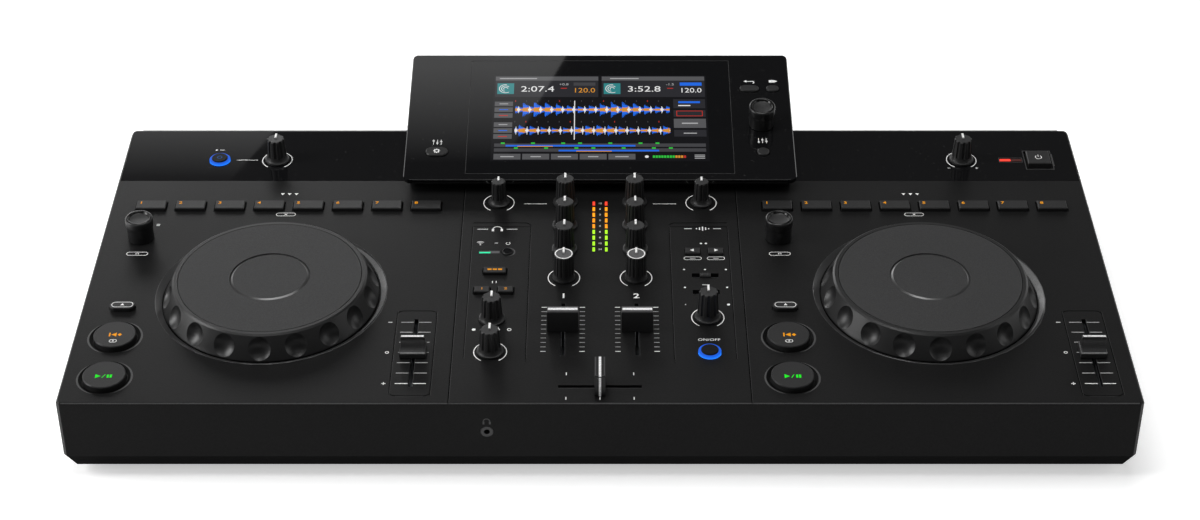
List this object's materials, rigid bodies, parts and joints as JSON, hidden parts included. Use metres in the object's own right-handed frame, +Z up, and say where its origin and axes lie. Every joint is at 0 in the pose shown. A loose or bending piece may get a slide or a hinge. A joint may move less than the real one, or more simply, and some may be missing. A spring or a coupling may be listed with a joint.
{
  "type": "all-in-one dj system",
  "caption": "Flat table-top music console with jog decks beside a central mixer, a tilted touch display behind it, and knobs, keys and faders that move.",
  "frame": {"origin": "middle of the footprint on the surface that the feet stand on", "axes": "+X to the right along the width, +Y from the front edge to the back, +Z up"},
  "size_m": [0.65, 0.3556, 0.0934],
  "materials": {
    "matte_black": "fine spark texture",
    "tray_black": "moulded, fine texture",
    "gloss_black": "high gloss",
    "screen_glass": "gloss cover glass",
    "board": "solder mask",
    "metal": "plated",
    "socket_metal": "plated",
    "rubber": "matte",
    "screw": "black zinc",
    "lens": "clear lens",
    "jog_grey": "satin",
    "key_grey": "satin",
    "knob_black": "soft touch",
    "cap_black": "satin",
    "blue_light": "lit ring"
  },
  "bodies": {
    "case": {"bottom_case": "tray_black", "top_case": "matte_black", "gloss_strips": "gloss_black", "display_housing": "matte_black", "display_bezel": "gloss_black", "touch_screen": "screen_glass", "circuit_boards": "board", "pot_bodies": "metal", "fader_bodies": "metal", "tact_switches": "matte_black", "jog_spindles": "metal", "rubber_feet": "rubber", "case_screws": "screw", "headphone_socket": "matte_black", "audio_sockets": "matte_black", "data_sockets": "socket_metal", "indicator_lenses": "lens"},
    "jog_left": {"jog_ring_left": "matte_black", "jog_plate_left": "jog_grey"},
    "hot_cue_keys_left": {"hot_cue_keys_left": "key_grey"},
    "shift_key_left": {"shift_key_left": "key_grey"},
    "cue_button_left": {"cue_button_left": "key_grey"},
    "play_button_left": {"play_button_left": "key_grey"},
    "loop_encoder_left": {"loop_encoder_left": "knob_black"},
    "tempo_cap_left": {"tempo_cap_left": "cap_black"},
    "jog_right": {"jog_ring_right": "matte_black", "jog_plate_right": "jog_grey"},
    "hot_cue_keys_right": {"hot_cue_keys_right": "key_grey"},
    "shift_key_right": {"shift_key_right": "key_grey"},
    "cue_button_right": {"cue_button_right": "key_grey"},
    "play_button_right": {"play_button_right": "key_grey"},
    "loop_encoder_right": {"loop_encoder_right": "knob_black"},
    "tempo_cap_right": {"tempo_cap_right": "cap_black"},
    "trim_knob_1": {"trim_knob_1": "knob_black"},
    "high_knob_1": {"high_knob_1": "knob_black"},
    "mid_knob_1": {"mid_knob_1": "knob_black"},
    "low_knob_1": {"low_knob_1": "knob_black"},
    "filter_knob_1": {"filter_knob_1": "knob_black"},
    "channel_cap_1": {"channel_cap_1": "cap_black"},
    "trim_knob_2": {"trim_knob_2": "knob_black"},
    "high_knob_2": {"high_knob_2": "knob_black"},
    "mid_knob_2": {"mid_knob_2": "knob_black"},
    "low_knob_2": {"low_knob_2": "knob_black"},
    "filter_knob_2": {"filter_knob_2": "knob_black"},
    "channel_cap_2": {"channel_cap_2": "cap_black"},
    "crossfader_cap": {"crossfader_cap": "cap_black"},
    "headphone_keys": {"headphone_keys": "key_grey"},
    "headphone_mix_knob": {"headphone_mix_knob": "knob_black"},
    "headphone_level_knob": {"headphone_level_knob": "knob_black"},
    "beat_keys": {"beat_keys": "key_grey"},
    "effect_select_switch": {"effect_select_switch": "matte_black"},
    "effect_assign_switch": {"effect_assign_switch": "matte_black"},
    "effect_depth_knob": {"effect_depth_knob": "knob_black"},
    "effect_button": {"effect_button": "blue_light"},
    "mic_button": {"mic_button": "blue_light"},
    "mic_knob": {"mic_knob": "knob_black"},
    "master_knob": {"master_knob": "knob_black"},
    "power_button": {"power_button": "matte_black"},
    "display_keys": {"display_keys": "matte_black"},
    "browse_encoder": {"browse_encoder": "knob_black"}
  },
  "joints": [
    {"name": "jog_left_spin", "type": "hinge", "parent": "case", "child": "jog_left", "pos_m": [-0.20785, -0.0673, 0.0575], "axis": [0, 0, -1], "continuous": true},
    {"name": "hot_cue_keys_left_press", "type": "slide", "parent": "case", "child": "hot_cue_keys_left", "axis": [0, 0, -1], "range_m": [0, 0.0008], "stiffness_N_per_m": 1500, "springref_m": -0.0002},
    {"name": "shift_key_left_press", "type": "slide", "parent": "case", "child": "shift_key_left", "axis": [0, 0, -1], "range_m": [0, 0.0008], "stiffness_N_per_m": 1500, "springref_m": -0.0002},
    {"name": "cue_button_left_press", "type": "slide", "parent": "case", "child": "cue_button_left", "axis": [0, 0, -1], "range_m": [0, 0.0008], "stiffness_N_per_m": 1500, "springref_m": -0.0002},
    {"name": "play_button_left_press", "type": "slide", "parent": "case", "child": "play_button_left", "axis": [0, 0, -1], "range_m": [0, 0.0008], "stiffness_N_per_m": 1500, "springref_m": -0.0002},
    {"name": "loop_encoder_left_turn", "type": "hinge", "parent": "case", "child": "loop_encoder_left", "pos_m": [-0.2994, -0.0063, 0.0575], "axis": [0, 0, -1], "continuous": true},
    {"name": "tempo_cap_left_slide", "type": "slide", "parent": "case", "child": "tempo_cap_left", "axis": [0, -1, 0], "range_m": [-0.03, 0.03]},
    {"name": "jog_right_spin", "type": "hinge", "parent": "case", "child": "jog_right", "pos_m": [0.20785, -0.0673, 0.0575], "axis": [0, 0, -1], "continuous": true},
    {"name": "hot_cue_keys_right_press", "type": "slide", "parent": "case", "child": "hot_cue_keys_right", "axis": [0, 0, -1], "range_m": [0, 0.0008], "stiffness_N_per_m": 1500, "springref_m": -0.0002},
    {"name": "shift_key_right_press", "type": "slide", "parent": "case", "child": "shift_key_right", "axis": [0, 0, -1], "range_m": [0, 0.0008], "stiffness_N_per_m": 1500, "springref_m": -0.0002},
    {"name": "cue_button_right_press", "type": "slide", "parent": "case", "child": "cue_button_right", "axis": [0, 0, -1], "range_m": [0, 0.0008], "stiffness_N_per_m": 1500, "springref_m": -0.0002},
    {"name": "play_button_right_press", "type": "slide", "parent": "case", "child": "play_button_right", "axis": [0, 0, -1], "range_m": [0, 0.0008], "stiffness_N_per_m": 1500, "springref_m": -0.0002},
    {"name": "loop_encoder_right_turn", "type": "hinge", "parent": "case", "child": "loop_encoder_right", "pos_m": [0.1163, -0.0063, 0.0575], "axis": [0, 0, -1], "continuous": true},
    {"name": "tempo_cap_right_slide", "type": "slide", "parent": "case", "child": "tempo_cap_right", "axis": [0, -1, 0], "range_m": [-0.03, 0.03]},
    {"name": "trim_knob_1_turn", "type": "hinge", "parent": "case", "child": "trim_knob_1", "pos_m": [-0.0673, 0.0342, 0.0575], "axis": [0, 0, -1], "range_deg": [-150, 150]},
    {"name": "high_knob_1_turn", "type": "hinge", "parent": "case", "child": "high_knob_1", "pos_m": [-0.023, 0.0342, 0.0575], "axis": [0, 0, -1], "range_deg": [-150, 150]},
    {"name": "mid_knob_1_turn", "type": "hinge", "parent": "case", "child": "mid_knob_1", "pos_m": [-0.023, 0.0072, 0.0575], "axis": [0, 0, -1], "range_deg": [-150, 150]},
    {"name": "low_knob_1_turn", "type": "hinge", "parent": "case", "child": "low_knob_1", "pos_m": [-0.023, -0.0198, 0.0575], "axis": [0, 0, -1], "range_deg": [-150, 150]},
    {"name": "filter_knob_1_turn", "type": "hinge", "parent": "case", "child": "filter_knob_1", "pos_m": [-0.023, -0.0506, 0.0575], "axis": [0, 0, -1], "range_deg": [-150, 150]},
    {"name": "channel_cap_1_slide", "type": "slide", "parent": "case", "child": "channel_cap_1", "axis": [0, 1, 0], "range_m": [-0.0225, 0.0225]},
    {"name": "trim_knob_2_turn", "type": "hinge", "parent": "case", "child": "trim_knob_2", "pos_m": [0.0673, 0.0342, 0.0575], "axis": [0, 0, -1], "range_deg": [-150, 150]},
    {"name": "high_knob_2_turn", "type": "hinge", "parent": "case", "child": "high_knob_2", "pos_m": [0.023, 0.0342, 0.0575], "axis": [0, 0, -1], "range_deg": [-150, 150]},
    {"name": "mid_knob_2_turn", "type": "hinge", "parent": "case", "child": "mid_knob_2", "pos_m": [0.023, 0.0072, 0.0575], "axis": [0, 0, -1], "range_deg": [-150, 150]},
    {"name": "low_knob_2_turn", "type": "hinge", "parent": "case", "child": "low_knob_2", "pos_m": [0.023, -0.0198, 0.0575], "axis": [0, 0, -1], "range_deg": [-150, 150]},
    {"name": "filter_knob_2_turn", "type": "hinge", "parent": "case", "child": "filter_knob_2", "pos_m": [0.023, -0.0506, 0.0575], "axis": [0, 0, -1], "range_deg": [-150, 150]},
    {"name": "channel_cap_2_slide", "type": "slide", "parent": "case", "child": "channel_cap_2", "axis": [0, 1, 0], "range_m": [-0.0225, 0.0225]},
    {"name": "crossfader_cap_slide", "type": "slide", "parent": "case", "child": "crossfader_cap", "axis": [1, 0, 0], "range_m": [-0.0225, 0.0225]},
    {"name": "headphone_keys_press", "type": "slide", "parent": "case", "child": "headphone_keys", "axis": [0, 0, -1], "range_m": [0, 0.0008], "stiffness_N_per_m": 1500, "springref_m": -0.0002},
    {"name": "headphone_mix_knob_turn", "type": "hinge", "parent": "case", "child": "headphone_mix_knob", "pos_m": [-0.0673, -0.0946, 0.0575], "axis": [0, 0, -1], "range_deg": [-150, 150]},
    {"name": "headphone_level_knob_turn", "type": "hinge", "parent": "case", "child": "headphone_level_knob", "pos_m": [-0.0673, -0.1278, 0.0575], "axis": [0, 0, -1], "range_deg": [-150, 150]},
    {"name": "beat_keys_press", "type": "slide", "parent": "case", "child": "beat_keys", "axis": [0, 0, -1], "range_m": [0, 0.0008], "stiffness_N_per_m": 1500, "springref_m": -0.0002},
    {"name": "effect_select_switch_slide", "type": "slide", "parent": "case", "child": "effect_select_switch", "axis": [1, 0, 0], "range_m": [-0.004, 0.004]},
    {"name": "effect_assign_switch_slide", "type": "slide", "parent": "case", "child": "effect_assign_switch", "axis": [1, 0, 0], "range_m": [-0.004, 0.004]},
    {"name": "effect_depth_knob_turn", "type": "hinge", "parent": "case", "child": "effect_depth_knob", "pos_m": [0.0673, -0.0928, 0.0575], "axis": [0, 0, -1], "range_deg": [-150, 150]},
    {"name": "effect_button_press", "type": "slide", "parent": "case", "child": "effect_button", "axis": [0, 0, -1], "range_m": [0, 0.0008], "stiffness_N_per_m": 1500, "springref_m": -0.0002},
    {"name": "mic_button_press", "type": "slide", "parent": "case", "child": "mic_button", "axis": [0, 0, -1], "range_m": [0, 0.0008], "stiffness_N_per_m": 1500, "springref_m": -0.0002},
    {"name": "mic_knob_turn", "type": "hinge", "parent": "case", "child": "mic_knob", "pos_m": [-0.22045, 0.0862, 0.0575], "axis": [0, 0, -1], "range_deg": [-150, 150]},
    {"name": "master_knob_turn", "type": "hinge", "parent": "case", "child": "master_knob", "pos_m": [0.24685, 0.0862, 0.0575], "axis": [0, 0, -1], "range_deg": [-150, 150]},
    {"name": "power_button_press", "type": "slide", "parent": "case", "child": "power_button", "axis": [0, 0, -1], "range_m": [0, 0.0008], "stiffness_N_per_m": 1500, "springref_m": -0.0002},
    {"name": "display_keys_press", "type": "slide", "parent": "case", "child": "display_keys", "axis": [0, 0.1409, -0.99], "range_m": [0, 0.0008], "stiffness_N_per_m": 1500, "springref_m": -0.0002},
    {"name": "browse_encoder_turn", "type": "hinge", "parent": "case", "child": "browse_encoder", "pos_m": [0.1104, 0.10322, 0.0759], "axis": [0, 0.1409, -0.99], "continuous": true}
  ]
}
